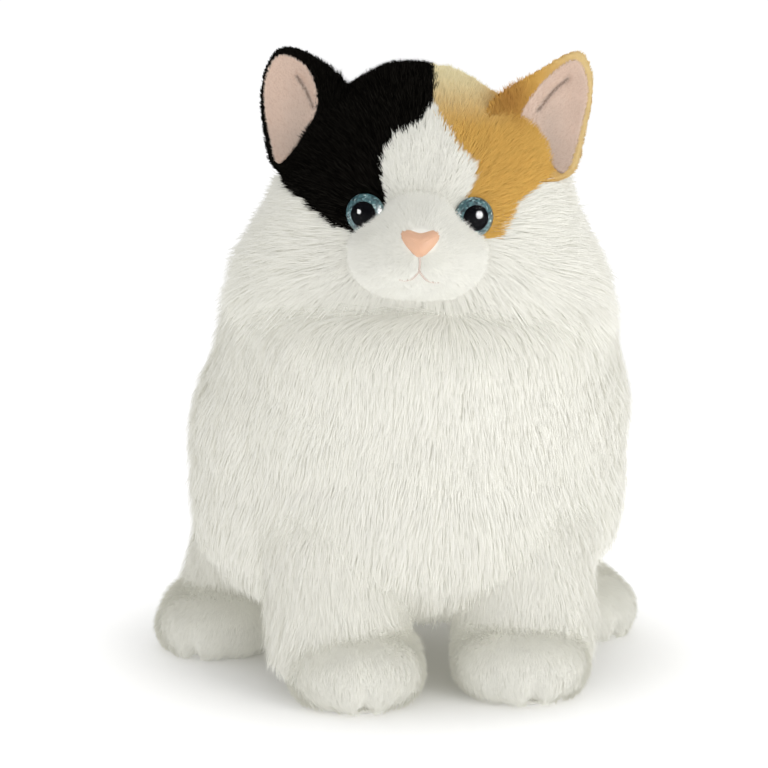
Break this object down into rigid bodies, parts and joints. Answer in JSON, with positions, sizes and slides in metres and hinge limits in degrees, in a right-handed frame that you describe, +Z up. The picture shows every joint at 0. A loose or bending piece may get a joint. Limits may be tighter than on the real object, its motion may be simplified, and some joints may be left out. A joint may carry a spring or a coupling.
{
  "type": "plush cat",
  "caption": "Fat round plush cat standing on four short legs, with a turned head, cupped ears, glossy domed eyes and a padded muzzle.",
  "frame": {"origin": "on the floor, under the middle of the whole cat", "axes": "+Z up from the floor to the ear tips; the body faces -Y and the cat's right is -X"},
  "size_m": [0.1938, 0.2372, 0.2554],
  "materials": {
    "white_long_pile": "long, straight, silky pile about 15 mm long",
    "white_short_pile": "short dense pile, 3 to 6 mm",
    "black_pile": "short black pile, soft sheen",
    "orange_pile": "short orange tan pile, paler at the tips",
    "ear_plush": "pale pink velour",
    "nose_thread": "peach satin stitch",
    "stitch_thread": "pinkish grey embroidery thread",
    "label_satin": "blank white satin ribbon",
    "polyester_fibre": "white polyester filling",
    "pellets": "loose plastic pellets",
    "eye_clear": "clear, polished",
    "eye_glitter": "teal blue glitter under a clear dome",
    "eye_black": "black, polished",
    "washer_nylon": "natural nylon"
  },
  "bodies": {
    "torso": {"chest_panel": "white_long_pile", "right_flank_panel": "white_long_pile", "left_flank_panel": "white_long_pile", "belly_gusset": "white_long_pile", "body_stuffing": "polyester_fibre", "closing_seam_thread": "stitch_thread", "sewn_in_label": "label_satin"},
    "head": {"head_right_panel": "black_pile", "head_left_panel": "orange_pile", "forehead_blaze": "white_short_pile", "right_cheek_panel": "white_long_pile", "left_cheek_panel": "white_long_pile", "head_stuffing": "polyester_fibre", "muzzle_cover": "white_short_pile", "muzzle_stuffing": "polyester_fibre", "nose_embroidery": "nose_thread", "mouth_stitch": "stitch_thread", "right_eye_dome": "eye_clear", "right_eye_iris": "eye_glitter", "right_eye_post": "eye_black", "right_eye_washer": "washer_nylon", "left_eye_dome": "eye_clear", "left_eye_iris": "eye_glitter", "left_eye_post": "eye_black", "left_eye_washer": "washer_nylon"},
    "right_ear": {"right_ear_back": "black_pile", "right_ear_lining": "ear_plush"},
    "left_ear": {"left_ear_back": "orange_pile", "left_ear_lining": "ear_plush"},
    "right_front_leg": {"right_front_leg_sleeve": "white_long_pile", "right_front_leg_paw_top": "white_short_pile", "right_front_leg_sole_patch": "white_short_pile", "right_front_leg_stuffing": "polyester_fibre", "right_front_leg_pellets": "pellets", "right_front_leg_toe_stitches": "stitch_thread"},
    "left_front_leg": {"left_front_leg_sleeve": "white_long_pile", "left_front_leg_paw_top": "white_short_pile", "left_front_leg_sole_patch": "white_short_pile", "left_front_leg_stuffing": "polyester_fibre", "left_front_leg_pellets": "pellets", "left_front_leg_toe_stitches": "stitch_thread"},
    "right_hind_leg": {"right_hind_leg_sleeve": "white_long_pile", "right_hind_leg_paw_top": "white_short_pile", "right_hind_leg_sole_patch": "white_short_pile", "right_hind_leg_stuffing": "polyester_fibre", "right_hind_leg_pellets": "pellets", "right_hind_leg_toe_stitches": "stitch_thread"},
    "left_hind_leg": {"left_hind_leg_sleeve": "white_long_pile", "left_hind_leg_paw_top": "white_short_pile", "left_hind_leg_sole_patch": "white_short_pile", "left_hind_leg_stuffing": "polyester_fibre", "left_hind_leg_pellets": "pellets", "left_hind_leg_toe_stitches": "stitch_thread"},
    "tail": {"tail_cover": "white_long_pile", "tail_stuffing": "polyester_fibre"}
  },
  "joints": [
    {"name": "head_turn", "type": "hinge", "parent": "torso", "child": "head", "pos_m": [0, -0.03574, 0.148], "axis": [0, 0, 1], "range_deg": [-3, 25]},
    {"name": "right_ear_fold", "type": "hinge", "parent": "head", "child": "right_ear", "pos_m": [-0.0441, -0.03698, 0.23129], "axis": [0.6987, -0.1422, 0.7011], "range_deg": [-20, 40]},
    {"name": "left_ear_fold", "type": "hinge", "parent": "head", "child": "left_ear", "pos_m": [0.04209, -0.05451, 0.22868], "axis": [0.6567, -0.1336, -0.7422], "range_deg": [-20, 40]},
    {"name": "right_front_leg_swing", "type": "hinge", "parent": "torso", "child": "right_front_leg", "pos_m": [-0.0385, -0.04774, 0.062], "axis": [1, 0, 0], "range_deg": [-10, 7]},
    {"name": "left_front_leg_swing", "type": "hinge", "parent": "torso", "child": "left_front_leg", "pos_m": [0.0385, -0.04774, 0.062], "axis": [1, 0, 0], "range_deg": [-10, 7]},
    {"name": "right_hind_leg_swing", "type": "hinge", "parent": "torso", "child": "right_hind_leg", "pos_m": [-0.052, 0.03626, 0.058], "axis": [1, 0, 0], "range_deg": [-10, 7]},
    {"name": "left_hind_leg_swing", "type": "hinge", "parent": "torso", "child": "left_hind_leg", "pos_m": [0.052, 0.03626, 0.058], "axis": [1, 0, 0], "range_deg": [-10, 7]},
    {"name": "tail_wag", "type": "hinge", "parent": "torso", "child": "tail", "pos_m": [0, 0.07826, 0.076], "axis": [0, 0, 1], "range_deg": [-25, 25]}
  ]
}
